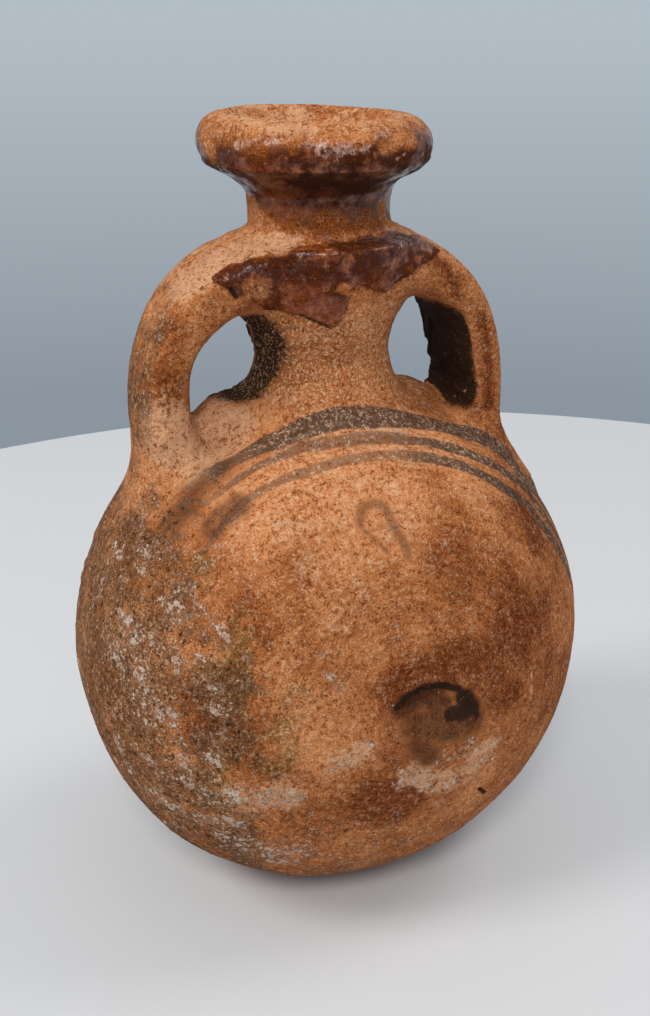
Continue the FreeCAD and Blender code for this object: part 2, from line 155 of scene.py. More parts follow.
# Clay thumbed into the foot of each eye: middle and radii of a lump
EYE_FILLS = (
    (np.array((-15.4, 1.0, 84.0)) * MM, np.array((6.2, 6.5, 4.1)) * MM),
    (np.array((14.6, 2.0, 84.4)) * MM, np.array((4.0, 6.5, 2.6)) * MM),
)

# A piece reaches this far under its neighbour's skin, and dips by this much there
OVERLAP = 1.2 * MM
DIP = 0.35 * MM
# Room left round a node's box when its piece is meshed
MARGIN = 3 * MM

# Steps of the meshes
FINE = 0.34 * MM
BROAD = 0.46 * MM

# Noise

LATTICE = 32
OCTAVE_SHARE = 0.55
lattices = {}


def noise(place, size, seed):
    """Smooth noise from -1 to 1 whose lumps have the given size in mm."""
    if seed not in lattices:
        random = np.random.default_rng(seed)
        lattices[seed] = random.uniform(-1, 1, (LATTICE,) * 3).astype(np.float32)
    table = lattices[seed]
    cells, fades = [], []
    for value in place:
        scaled = np.asarray(value, np.float32) / (size * MM) + LATTICE
        whole = np.floor(scaled)
        part = scaled - whole
        cells.append(whole.astype(np.int32))
        fades.append(part * part * (3 - 2 * part))
    total = 0
    for corner in range(8):
        steps = (corner & 1, corner >> 1 & 1, corner >> 2 & 1)
        index = tuple((cell + step) % LATTICE for cell, step in zip(cells, steps))
        weight = 1
        for fade, step in zip(fades, steps):
            weight = weight * (fade if step else 1 - fade)
        total = total + weight * table[index]
    return total


def rough(place, size, seed):
    """Noise with two finer octaves laid on it, from about -1 to 1."""
    total = sum(OCTAVE_SHARE ** octave * noise(place, size / 2 ** octave, seed + octave)
                for octave in range(3))
    return total / (1 + OCTAVE_SHARE)


def unit(value):
    """The value, kept between 0 and 1."""
    return np.clip(value, 0, 1)


def rise(low, high, value):
    """0 up to low, and rising smoothly to 1 at high."""
    share = unit((value - low) / (high - low))
    return share * share * (3 - 2 * share)


def fall(low, high, value):
    return 1 - rise(low, high, value)


def rise_mm(low, high, value):
    return rise(low * MM, high * MM, value)


def fall_mm(low, high, value):
    return fall(low * MM, high * MM, value)


# The clay, as distance fields


def melt(first, second, run):
    """The nearer of two fields, rounded where they meet."""
    close = np.maximum(run - np.abs(first - second), 0) / run
    return np.minimum(first, second) - close * close * run / 4


def belly_field(x, y, z):
    """Distance to the belly: face, shoulder and edge arcs turned round the Y axis."""
    sine = EDGE_BAND / EDGE_R
    outward = np.array((math.sqrt(1 - sine ** 2), sine))
    face = np.array((0, BODY_DEPTH - FACE_R))
    edge = np.array((BODY_R - EDGE_R, 0))
    start = edge + outward * EDGE_R
    reach = start - face
    shoulder_r = (FACE_R ** 2 - reach @ reach) / (2 * (FACE_R - reach @ outward))
    shoulder = start - outward * shoulder_r
    across = np.hypot(x, z - BODY_R)
    depth = np.abs(y)

    def from_arc(centre, radius):
        return np.hypot(across - centre[0], depth - centre[1]) - radius

    def beyond(centre):
        """Positive on the face's side of the line from an arc's centre to the shoulder's."""
        line = shoulder - centre
        return (across - centre[0]) * -line[1] + (depth - centre[1]) * line[0]

    return np.where(beyond(face) > 0, from_arc(face, FACE_R),
                    np.where(beyond(edge) < 0, from_arc(edge, EDGE_R),
                             from_arc(shoulder, shoulder_r)))


def neck_field(x, y, z):
    """Distance to the neck, with its slight waist above the coil and its throat under the mouth."""
    waist = np.exp(-((z - WAIST_Z) / WAIST_LENGTH) ** 2)
    throat = np.exp(-((z - THROAT_Z) / THROAT_LENGTH) ** 2)
    middle = NECK_X + WAIST_SHIFT * waist + THROAT_SHIFT * throat
    return np.hypot(x - middle, y) - (NECK_R - NECK_WAIST * waist - THROAT * throat)


def coil_field(x, y, z):
    """The flared coil at the neck's root, as a hollow arc round the neck."""
    centre_r = NECK_R - COIL_TUCK + FLARE_R
    centre_z = BODY_R + math.sqrt((BODY_R + FLARE_R) ** 2 - centre_r ** 2)
    from_axis = np.hypot(x - NECK_X - WAIST_SHIFT, y)
    hollow = FLARE_R - np.hypot(from_axis - centre_r, z - centre_z)
    return np.maximum(np.maximum(hollow, from_axis - COIL_R), z - centre_z)


def mouth_field(x, y, z):
    """Rolled lip, tilted a little, on a skewed funnel."""
    tilted = z + (x - MOUTH_X) * math.tan(LIP_TILT)
    from_axis = np.hypot(x - MOUTH_X, y)
    lip = np.hypot(np.maximum(from_axis - (LIP_R - ROLL_R), 0),
                   tilted - (LIP_TOP - ROLL_R)) - ROLL_R
    share = np.clip((z - FUNNEL_Z) / (UNDERCUT_Z - FUNNEL_Z), 0, FUNNEL_OVERRUN)
    foot_x = NECK_X + THROAT_SHIFT
    foot_r = NECK_R - THROAT
    middle = foot_x + (MOUTH_X - foot_x) * share
    widest = LIP_R - ROLL_R + FUNNEL_TUCK
    side = np.hypot(x - middle, y) - (foot_r + (widest - foot_r) * share ** FUNNEL_CURVE)
    ends = np.maximum(FUNNEL_Z - 2 * MM - z, z - UNDERCUT_Z - MM)
    return melt(lip, np.maximum(side * FUNNEL_SLANT, ends), LUTED_LIP)


def collar_field(x, y, z):
    """The ridged ring round the neck: a band, a steep cap and a long skirt."""
    from_axis = np.hypot(x - NECK_X, y)
    height = RIDGE_LOW - collar_low[2]
    skirt_slope = (RIDGE_R - COLLAR_EDGE_R) / height
    cap_slope = (RIDGE_R - COLLAR_EDGE_R) / (collar_high[2] - RIDGE_HIGH)
    skirt = (from_axis - RIDGE_R + (RIDGE_LOW - z) * skirt_slope) / math.hypot(1, skirt_slope)
    cap = (from_axis - RIDGE_R + (z - RIDGE_HIGH) * cap_slope) / math.hypot(1, cap_slope)
    up_cap = unit((z - RIDGE_HIGH) / (collar_high[2] - RIDGE_HIGH))
    cap = cap + CAP_HOLLOW * np.sin(math.pi * up_cap)
    return np.maximum(np.maximum(skirt, cap), from_axis - RIDGE_R)


def strap_line(tail, lean, bow, lump, pinch):
    """Stations down a strap, evenly spaced: middle point, normal, and how far the strap reaches
    out, in and to each side. Across is from the neck's axis and heights are from the springing."""
    strap_reach = STRAP_REACH + bow
    root_height = STRAP_RISE * (1 - (STRAP_ROOT / strap_reach) ** ARCH_POWER) ** (1 / ARCH_POWER)
    turn = np.linspace(math.atan2(root_height, STRAP_ROOT), 0, ARCH_STEPS)
    stretch = ((np.cos(turn) / strap_reach) ** ARCH_POWER
               + (np.sin(turn) / STRAP_RISE) ** ARCH_POWER)
    radius = stretch ** (-1 / ARCH_POWER)
    share = np.linspace(0, 1, TAIL_STEPS)[1:]
    across = np.concatenate((radius * np.cos(turn), strap_reach + lean * share ** 2))
    height = np.concatenate((radius * np.sin(turn), -tail * share))
    flare = (np.maximum(height, 0) / STRAP_RISE) ** FLARE_POWER
    foot = unit((SWELL_START - height) / (SWELL_START + SWELL_END)) ** 2
    bend = BEND_SCALE * np.sin(2 * turn) * np.cos(turn)
    outer = STRAP_HALF * np.concatenate((1 - pinch * bend, 1 - FOOT_THINNER * share ** 2))
    inner = outer + ROOT_SWELL * flare + FOOT_SWELL * foot
    lump_size, lump_up, lump_reach = lump
    inner = inner + lump_size * np.exp(-((height - lump_up) / lump_reach) ** 2)
    width = STRAP_HALF_WIDTH * np.concatenate(
        (1 + ROOT_WIDER * flare[:ARCH_STEPS], 1 + FOOT_WIDER * share ** 2))
    length = np.concatenate(((0,), np.cumsum(np.hypot(np.diff(across), np.diff(height)))))
    even = np.linspace(0, length[-1], STRAP_STEPS)
    across, height, outer, inner, width = (
        np.interp(even, length, row) for row in (across, height, outer, inner, width))
    ahead = np.gradient(across), np.gradient(height)
    size = np.hypot(*ahead)
    return {"across": across, "height": height, "outer": outer, "inner": inner, "width": width,
            "ahead": (ahead[0] / size, ahead[1] / size), "spacing": even[1]}


strap_lines = {side: strap_line(*tail) for side, tail in TAILS.items()}
# Points measured against a strap at once
BATCH = 20000


def strap_field(x, y, z, side):
    """Distance to a strap: a superellipse swept along its line."""
    line = strap_lines[side]
    sign = -1 if side == "left" else 1
    across, height = np.broadcast_arrays(sign * (x - NECK_X), z - SPRING_Z)
    shape = across.shape
    across = across.ravel().astype(np.float32)
    height = height.ravel().astype(np.float32)
    nearest = np.empty(len(across), np.int32)
    stations = np.stack((line["across"], line["height"])).astype(np.float32)
    for start in range(0, len(across), BATCH):
        stop = start + BATCH
        gap = ((across[start:stop, None] - stations[0]) ** 2
               + (height[start:stop, None] - stations[1]) ** 2)
        nearest[start:stop] = gap.argmin(1)
    off_across = across - stations[0][nearest]
    off_height = height - stations[1][nearest]
    ahead = line["ahead"][0][nearest], line["ahead"][1][nearest]
    along = off_across * ahead[0] + off_height * ahead[1]
    out = off_height * ahead[0] - off_across * ahead[1]
    place = nearest + along / line["spacing"]
    last = len(stations[0]) - 1
    past_end = np.maximum(-place, place - last) * line["spacing"]
    row = np.arange(last + 1)
    outer, inner, width = (
        np.interp(place, row, line[name]).reshape(shape) for name in ("outer", "inner", "width"))
    out = out.reshape(shape)
    past_end = past_end.reshape(shape)
    half = (outer + inner) / 2
    level = np.abs(out - (outer - inner) / 2) / half
    beside = np.abs(y) / width
    size = (level ** SECTION_POWER + beside ** SECTION_POWER) ** (1 / SECTION_POWER) + 1e-6
    slope = np.sqrt(((level / size) ** (SECTION_POWER - 1) / half) ** 2
                    + ((beside / size) ** (SECTION_POWER - 1) / width) ** 2)
    return np.maximum((size - 1) / np.maximum(slope, 0.5 / width), past_end)


def hollow_field(x, y, z, belly):
    """Negative in the belly's hollow, the bore and the dish."""
    from_bore = np.hypot(x - NECK_X, y)
    bore = np.maximum(from_bore - BORE_R, neck_low[2] - 6 * MM - z)
    slope = (DISH_R - BORE_R - MM) / (LIP_TOP - DISH_Z)
    dish_r = BORE_R + MM + (z - DISH_Z) * slope
    dish = np.maximum((np.hypot(x - MOUTH_X, y) - dish_r) / math.hypot(1, slope), DISH_Z - z)
    return np.minimum(np.minimum(belly + WALL, bore), dish)


def egg(x, y, z, middle, radii):
    """Rough distance to an egg-shaped lump."""
    parts = [(value - at) / radius for value, at, radius in zip((x, y, z), middle, radii)]
    return (np.sqrt(sum(part * part for part in parts)) - 1) * min(radii)


def clay(x, y, z):
    """The whole flask's field, and each piece's own field, cut as the CAD cuts them."""
    belly, neck, coil, mouth, collar = (field(x, y, z) for field in (
        belly_field, neck_field, coil_field, mouth_field, collar_field))
    left, right = (strap_field(x, y, z, side) for side in ("left", "right"))
    tube = np.maximum(neck, np.maximum(neck_low[2] - z, z - LIP_TOP + 6 * MM))

    stem = np.minimum(tube, coil)
    stem = melt(stem, collar, LUTED_COLLAR)
    stem = melt(stem, mouth, LUTED_MOUTH)
    skin = melt(belly, stem, LUTED_COIL)
    straps = np.minimum(left, right)
    skin = melt(skin, straps, np.interp(z, STRAP_MELT_Z, STRAP_MELT).astype(np.float32))
    for middle, radii in EYE_FILLS:
        skin = melt(skin, egg(x, y, z, middle, radii), LUTED_EYE)
    place = x, y, z
    skin = skin + (SLOW_WOBBLE * noise(place, 17, 11) + QUICK_WOBBLE * noise(place, 7, 12))
    hollow = hollow_field(x, y, z, belly)
    whole = np.maximum(skin, -hollow)

    shell = np.maximum(belly, -neck)
    neck_own = np.maximum(neck, z - FUNNEL_Z)
    coil = np.maximum(coil, z - coil_high[2])
    collar = np.maximum(collar, np.maximum(collar_low[2] - z, z - collar_high[2]))
    handles_off = np.maximum(np.maximum(-belly, -neck), -collar)
    own = {
        "front_bowl": np.maximum(shell, y),
        "back_bowl": np.maximum(shell, -y),
        "neck_tube": neck_own,
        "root_coil": np.maximum(coil, np.maximum(-belly, -neck)),
        "mouth": np.maximum(mouth, FUNNEL_Z - z),
        "neck_collar": np.maximum(collar, -neck),
        "left_handle": np.maximum(left, handles_off),
        "right_handle": np.maximum(right, handles_off),
    }
    return whole, own


def piece_field(name, x, y, z):
    """The flask's field limited to one piece, which slips under its neighbours' skin."""
    whole, own = clay(x, y, z)
    others = [own[other] for other in own if other != name]
    nearest = others[0]
    for other in others[1:]:
        nearest = np.minimum(nearest, other)
    past = own[name] - nearest
    return np.maximum(whole + DIP * unit(past / OVERLAP), past - OVERLAP)


# From a field to a closed mesh

CORNERS = [(i, j, k) for i in (0, 1) for j in (0, 1) for k in (0, 1)]


def surface_net(values, origin, step):
    """Vertices and quads of the surface where a grid of values crosses zero.

    Each cell that the surface passes through has one vertex, in the middle of the crossings on
    the cell's edges, and each grid edge that it crosses has one quad.
    """
    inside = values < 0
    cells = tuple(n - 1 for n in values.shape)
    count = np.zeros(cells, np.int8)
    for i, j, k in CORNERS:
        count += inside[i:i + cells[0], j:j + cells[1], k:k + cells[2]]
    mixed = (count > 0) & (count < 8)
    at = np.stack(np.nonzero(mixed), 1)
    total = np.zeros((len(at), 3))
    crossings = np.zeros(len(at))
    for corner in CORNERS:
        for axis in range(3):
            if corner[axis]:
                continue
            first = at + corner
            second = first.copy()
            second[:, axis] += 1
            near = values[tuple(first.T)]
            far = values[tuple(second.T)]
            crossed = (near < 0) != (far < 0)
            share = near[crossed] / (near[crossed] - far[crossed])
            spot = first[crossed].astype(float)
            spot[:, axis] += share
            total[crossed] += spot
            crossings[crossed] += 1
    points = np.asarray(origin) + step * total / crossings[:, None]

    number = np.full(cells, -1, np.int64)
    number[mixed] = np.arange(len(at))
    quads = []
    for axis in range(3):
        one, two = (axis + 1) % 3, (axis + 2) % 3
        low = [slice(1, -1)] * 3
        low[axis] = slice(0, -1)
        high = list(low)
        high[axis] = slice(1, None)
        start, end = inside[tuple(low)], inside[tuple(high)]
        for leaves in (True, False):
            edges = np.stack(np.nonzero(start & ~end if leaves else end & ~start), 1)
            edges[:, one] += 1
            edges[:, two] += 1
            ring = []
            for back_one, back_two in ((1, 1), (0, 1), (0, 0), (1, 0)):
                cell = edges.copy()
                cell[:, one] -= back_one
                cell[:, two] -= back_two
                ring.append(number[tuple(cell.T)])
            quads.append(np.stack(ring if leaves else ring[::-1], 1))
    return points, np.concatenate(quads)


def vertex_normals(points, quads):
    diagonal_one = points[quads[:, 2]] - points[quads[:, 0]]
    diagonal_two = points[quads[:, 3]] - points[quads[:, 1]]
    flat = np.cross(diagonal_one, diagonal_two)
    normals = np.zeros_like(points)
    for corner in range(4):
        for axis in range(3):
            normals[:, axis] += np.bincount(quads[:, corner], flat[:, axis], len(points))
    return normals / np.maximum(np.linalg.norm(normals, axis=1), 1e-20)[:, None]


def piece_net(name, step):
    """Mesh one piece in a box a little larger than its node's."""
    low, high = node_box(name)
    low, high = low - MARGIN, high + MARGIN
    counts = np.ceil((high - low) / step).astype(int) + 1
    axes = [low[axis] + step * np.arange(counts[axis]) for axis in range(3)]
    x = axes[0][:, None, None].astype(np.float32)
    y = axes[1][None, :, None].astype(np.float32)
    z = axes[2][None, None, :].astype(np.float32)
    values = np.array(np.broadcast_to(piece_field(name, x, y, z), counts))
    for face in ((0,), (-1,)):
        values[face, :, :] = np.maximum(values[face, :, :], step)
        values[:, face, :] = np.maximum(values[:, face, :], step)
        values[:, :, face] = np.maximum(values[:, :, face], step)
    return surface_net(values, low, step)


# Camera, as in the photograph

IMAGE_WIDTH, IMAGE_HEIGHT = 650, 1016
FOCAL_PIXELS = 1186.6
SENSOR = 36.0
CAMERA_AT = Vector((-67.24, -172.19, 145.79)) * MM
CAMERA_AHEAD = Vector((0.33191, 0.85633, -0.39563)).normalized()
CAMERA_ROLL = math.radians(0.063)


def camera_axes():
    right = CAMERA_AHEAD.cross(Vector((0, 0, 1))).normalized()
    up = right.cross(CAMERA_AHEAD)
    turned_right = right * math.cos(CAMERA_ROLL) + up * math.sin(CAMERA_ROLL)
    turned_up = up * math.cos(CAMERA_ROLL) - right * math.sin(CAMERA_ROLL)
    return turned_right, turned_up


def make_camera():
    right, up = camera_axes()
    data = bpy.data.cameras.new("camera")
    data.sensor_fit = "VERTICAL"
    data.sensor_height = SENSOR
    data.lens = SENSOR * FOCAL_PIXELS / IMAGE_HEIGHT
    data.clip_start = 0.01
    camera = add_object("camera", data)
    axes = Matrix((right, up, -CAMERA_AHEAD)).transposed().to_4x4()
    camera.matrix_world = Matrix.Translation(CAMERA_AT) @ axes
    bpy.context.scene.camera = camera


def spot(u, v):
    """The place on the CAD's skin that the photograph shows at a pixel."""
    right, up = camera_axes()
    ray = (CAMERA_AHEAD + right * ((u - IMAGE_WIDTH / 2) / FOCAL_PIXELS)
           - up * ((v - IMAGE_HEIGHT / 2) / FOCAL_PIXELS)).normalized()
    hits = [tree.ray_cast(CAMERA_AT, ray) for tree in cad_trees]
    hits = [(distance, place) for place, _, _, distance in hits if place is not None]
    if not hits:
        raise ValueError("no clay at pixel %d, %d" % (u, v))
    return np.array(min(hits)[1])


def cad_tree(node):
    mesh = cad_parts[node].data
    return BVHTree.FromPolygons([vertex.co for vertex in mesh.vertices],
                                [tuple(face.vertices) for face in mesh.polygons])


cad_trees = [cad_tree(node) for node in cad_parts]


def distance_to(points, path):
    """Distance from each point to a path of pixels, taken through the skin below them."""
    spots = [spot(*pixel) for pixel in path]
    if len(spots) == 1:
        return np.linalg.norm(points - spots[0], axis=1)
    nearest = np.full(len(points), np.inf)
    for start, end in zip(spots, spots[1:]):
        line = end - start
        share = unit(((points - start) @ line) / (line @ line))
        gap = np.linalg.norm(points - start - share[:, None] * line, axis=1)
        nearest = np.minimum(nearest, gap)
    return nearest


# Where slip, paint, dirt and painted shade lie

# Painted bands, inner one first: half the width and how far in front of the belly's middle it
# runs on where it isn't seen, both in mm, how dark it is, the angles round the belly where it is
# gone and whole on the left, and a path of pixels along its middle
BANDS = (
    (1.05, 19.4, 0.48, -1.1, -0.8, (204, 552), (216, 534), (230, 514), (250, 497), (280, 481),
     (310, 470), (340, 461), (370, 456), (400, 454), (430, 457), (460, 465), (490, 479),
     (510, 491), (530, 505), (546, 519), (556, 534)),
    (1.15, 16.2, 0.52, -0.9, -0.52, (172, 545), (186, 524), (205, 504), (230, 485), (260, 465),
     (300, 449), (340, 440), (380, 437), (420, 440), (450, 447), (480, 458), (505, 471),
     (527, 488), (543, 506)),
    (1.85, 12.2, 0.75, -0.72, -0.34, (150, 540), (168, 514), (190, 492), (212, 475), (240, 458),
     (258, 448), (278, 438), (310, 425), (340, 417), (370, 416), (400, 418), (430, 423),
     (460, 431), (484, 441), (506, 457), (521, 475), (534, 492)),
)
# Angles from straight up, growing to the right: where the bands begin and are full, how far right
# the photograph shows them, and where they fade and end
BAND_START = -1.05
BAND_FULL = -0.80
BAND_SEEN = 0.80
BAND_FADES = 0.95
BAND_END = 1.50

# The left edge of the clean face, where brown patina and crust begin
PATINA_X = -23 * MM

# Edges of the slip, as paths of pixels: its foot on the neck, then its top and foot on the collar
NECK_SLIP_FOOT = ((250, 196), (262, 214), (275, 229), (287, 234), (311, 239), (329, 241),
                  (363, 238), (380, 234), (391, 222))
COLLAR_SLIP_TOP = ((217, 277), (233, 267), (259, 262), (273, 258), (297, 254), (320, 252),
                   (337, 246), (356, 241), (379, 240), (396, 234), (414, 241), (434, 251))
COLLAR_SLIP_FOOT = ((217, 279), (228, 289), (240, 296), (249, 290), (261, 299), (271, 307),
                    (287, 310), (311, 319), (330, 328), (341, 320), (347, 307), (350, 288),
                    (360, 285), (374, 291), (384, 293), (391, 285), (407, 276), (417, 267),
                    (434, 253))

# Marks that the photograph shows: reach and fade in mm, and a path of pixels
SLIP_WEAR = (
    (0.7, 1.0, (250, 286), (260, 290)), (0.4, 0.9, (343, 287), (350, 290)),
    (0.7, 1.2, (318, 136), (345, 134), (368, 134)), (0.6, 1.5, (256, 220), (262, 226)),
    (0.5, 1.2, (384, 205), (386, 215)), (0.8, 1.8, (215, 125), (235, 129), (256, 129)),
    (0.8, 2.4, (204, 138), (208, 150)), (0.4, 1.6, (385, 148), (400, 138), (412, 140)),
)
# Pale pink patches on the lip's front: partly worn slip, partly painted highlights
LIP_HIGHLIGHTS_AND_WEAR = (
    (0.2, 1.0, (238, 145), (256, 142), (276, 141)), (0.4, 1.2, (320, 150), (342, 149), (366, 146)),
    (0.1, 0.6, (205, 144), (206, 147)), (0.1, 0.6, (396, 158), (404, 154)),
)
# Pale pink lines on the collar's ridge: partly worn slip, partly painted glints
RIDGE_GLINTS_AND_WEAR = (
    (0.0, 0.4, (236, 267), (262, 263)), (0.0, 0.3, (298, 255), (306, 254)),
    (0.0, 0.36, (320, 253), (333, 250), (346, 243), (358, 241)),
    (0.0, 0.32, (334, 253), (350, 248), (362, 244)),
)
CRACKS = (
    (0.08, 0.35, (284, 310), (298, 313), (311, 319), (323, 325), (335, 329)),
    (0.15, 0.5, (231, 289), (236, 297)), (0.15, 0.5, (260, 300), (266, 305)),
    (0.15, 0.4, (479, 789), (486, 794)), (0.05, 0.45, (214, 722), (223, 727), (232, 725)),
)
# Dark marks, partly soot and partly painted shade: down the neck's left side into the left eye, and
# by the right strap's root
SOOT_AND_SHADE_MARKS = (
    (1.4, 4.6, (264, 322), (266, 342), (262, 358), (254, 374), (239, 392), (224, 402)),
    (0.3, 1.6, (249, 316), (258, 318)), (0.2, 1.8, (428, 300), (444, 306), (452, 320)),
)
CRESCENT = (
    (0.0, 1.3, (397, 708), (406, 697), (423, 688), (440, 685), (456, 688), (467, 696), (475, 709),
     (476, 716)),
    (0.5, 2.2, (464, 697), (471, 708), (462, 713), (452, 714)),
)
DENT = ((1.5, 2.6, (424, 704), (450, 706)),)
SMUDGES = (
    (1.2, 2.4, (404, 708), (418, 700), (430, 697), (442, 706)),
    (1.4, 4.2, (420, 726), (450, 727), (468, 722)), (1.0, 1.8, (450, 714), (434, 721)),
    (0.5, 4.0, (418, 745), (428, 756)),
)
BLOTCHES = (
    (1.2, 2.6, (214, 526), (226, 514), (238, 506)), (0.2, 5.0, (172, 526), (192, 500), (222, 470)),
)
LOOP = (
    (0.35, 1.1, (359, 522), (362, 508), (374, 502), (385, 506), (390, 518), (395, 530), (404, 543),
     (408, 556)),
    (0.0, 0.9, (359, 515), (364, 530), (377, 541), (388, 553)),
)
DARK_MARKS = ((CRESCENT, 1), (CRACKS, 1), (LOOP, 0.44), (BLOTCHES, 0.50), (SMUDGES, 0.56))
# Paler clay; the patch on the far inner wall of the dish is painted light, lifting a wall that the
# near rim shades
PALE_PATCHES = (
    (1.0, 4.0, (410, 776), (440, 782), (465, 772), (486, 748)), (0.4, 4.0, (330, 765), (362, 752)),
    (0.8, 5.0, (215, 820), (250, 800), (290, 795)), (3.0, 5.0, (165, 430), (190, 450), (225, 440)),
    (1.2, 0.8, (297, 111), (300, 120)), (0.6, 1.0, (276, 130), (306, 131)),
    (1.0, 3.0, (231, 258), (262, 245), (280, 244)), (1.0, 4.0, (190, 285), (205, 275)),
    (0.1, 0.6, (531, 672), (531, 692)),
)
# Painted light: paler, less red clay where the lamps fall brightest, on the upper face, the left
# shoulder and the right edge
PAINTED_LIGHT_PATCHES = (
    (3.0, 8.0, (262, 522), (300, 500), (345, 496), (400, 510)), (2.0, 8.0, (330, 560), (345, 610)),
    (2.0, 5.0, (310, 458), (450, 450)), (1.5, 4.0, (162, 446), (180, 452)),
    (0.6, 3.0, (555, 600), (560, 645)),
)
REDDENED = (
    (0.0, 2.2, (430, 256), (448, 272), (458, 290)),
    (1.5, 7.0, (452, 540), (478, 570), (512, 620), (505, 680), (478, 660)),
    (1.0, 4.0, (524, 505), (538, 540)), (1.0, 5.0, (400, 690), (440, 670)),
    (0.5, 6.0, (230, 700), (250, 760)), (0.0, 8.0, (370, 800), (400, 800)),
    (0.8, 3.0, (172, 330), (168, 370), (166, 400)), (0.0, 1.8, (482, 318), (488, 360), (490, 405)),
    (1.0, 4.0, (190, 700), (200, 740)),
)
BROWNED = (
    (2.0, 8.0, (205, 800), (240, 830), (285, 850)), (1.0, 6.0, (225, 690), (240, 750)),
    (1.5, 5.0, (150, 520), (185, 520)), (1.0, 12.0, (330, 805), (400, 815)),
)
OLIVE_PATCHES = (
    (0.8, 2.6, (221, 673), (228, 690)), (0.8, 3.5, (200, 560), (215, 590)),
    (0.5, 3.5, (240, 620), (236, 700)), (1.0, 6.0, (300, 700), (280, 760)),
    (0.6, 3.0, (118, 660), (130, 700)), (0.5, 3.0, (205, 800), (230, 760)),
)
CRUST_PATCHES = (
    (0.8, 1.6, (166, 603), (180, 615)), (0.8, 2.2, (122, 618), (132, 640)),
    (0.6, 2.0, (138, 676), (144, 694)), (1.0, 1.6, (148, 705), (158, 710), (170, 718)),
    (0.4, 1.2, (205, 684), (214, 688)), (0.5, 1.2, (209, 706), (223, 714)),
    (0.1, 1.4, (196, 603), (212, 620)), (0.1, 1.2, (222, 628), (226, 640)),
    (0.1, 1.4, (176, 650), (176, 674)), (0.1, 1.2, (196, 655), (204, 660)),
    (0.3, 1.8, (144, 552), (142, 570)), (0.3, 1.8, (119, 545), (122, 558)),
    (0.1, 1.8, (148, 640), (162, 650)), (0.3, 2.4, (112, 640), (120, 665)),
    (0.1, 1.6, (328, 676), (345, 690)), (0.1, 1.2, (322, 656)), (0.4, 2.0, (184, 757), (190, 785)),
    (0.2, 1.6, (206, 757), (216, 762)), (0.4, 1.8, (116, 738), (128, 770)),
    (0.3, 1.8, (146, 760), (160, 776)), (0.7, 3.0, (212, 798), (250, 795), (292, 800)),
    (0.3, 2.6, (150, 792), (178, 808)), (0.3, 2.6, (200, 818), (240, 822)),
    (0.4, 4.0, (225, 838), (262, 848), (300, 850)), (0.4, 3.0, (250, 850), (290, 862)),
)
DUST_PATCHES = (
    (0.2, 3.2, (338, 768), (352, 752), (368, 746)),
    (0.8, 3.4, (406, 778), (432, 786), (456, 782), (476, 768), (488, 748)),
    (0.2, 3.4, (440, 762), (470, 745)),
)


def marks(points, group):
    """The strongest of a group of marks at each point: 1 within reach of one's path, and falling
    to 0 over its fade."""
    found = np.zeros(len(points))
    for reach, fade, *path in group:
        reach, fade = reach * MM, fade * MM
        found = np.maximum(found, fall(reach, reach + fade, distance_to(points, path)))
    return found


def band_map(points):
    """Worn rings of dark paint on the front, over the upper third.

    They follow the photograph as far as it shows them, and run on at an even depth behind the
    right shoulder.
    """
    place = x, y, z = points.T
    turn = np.arctan2(x, z - BODY_R)
    waver = 0.22 * MM * noise(place, 5, 71) + 0.12 * MM * noise(place, 1.6, 72)
    unseen = rise(BAND_SEEN, BAND_SEEN + 0.08, turn)
    darker = 0.40 * rise(0.05, 0.50, turn)
    thinner = 1 - 0.30 * rise(0.2, 0.6, -turn)
    ragged = turn + 0.16 * noise(place, 6, 73)
    ink = np.zeros_like(x)
    for half, depth, strength, gone, whole, *path in BANDS:
        seen_gap = distance_to(points, path)
        gap = seen_gap * (1 - unseen) + np.abs(-y - depth * MM) * unseen + waver
        line = fall_mm(-0.25, 0.30, gap - half * MM * thinner)
        kept = 0.45 + 0.55 * rise(gone, whole, ragged)
        ink = np.maximum(ink, line * kept * np.minimum(strength + darker, 1))
    ends = rise(BAND_START, BAND_FULL, ragged) * fall(BAND_FADES, BAND_END, ragged)
    return ink * ends * (y < 0)


def around_neck(points):
    """Angle round the neck's axis, 0 in front and growing to the right."""
    return np.arctan2(points[:, 0] - NECK_X, -points[:, 1])


def line_height(points, path):
    """Height of a line round the neck, drawn as a path of pixels, at each point's angle."""
    spots = np.array([spot(*pixel) for pixel in path])
    turns = around_neck(spots)
    order = np.argsort(turns)
    return np.interp(around_neck(points), turns[order], spots[order, 2])


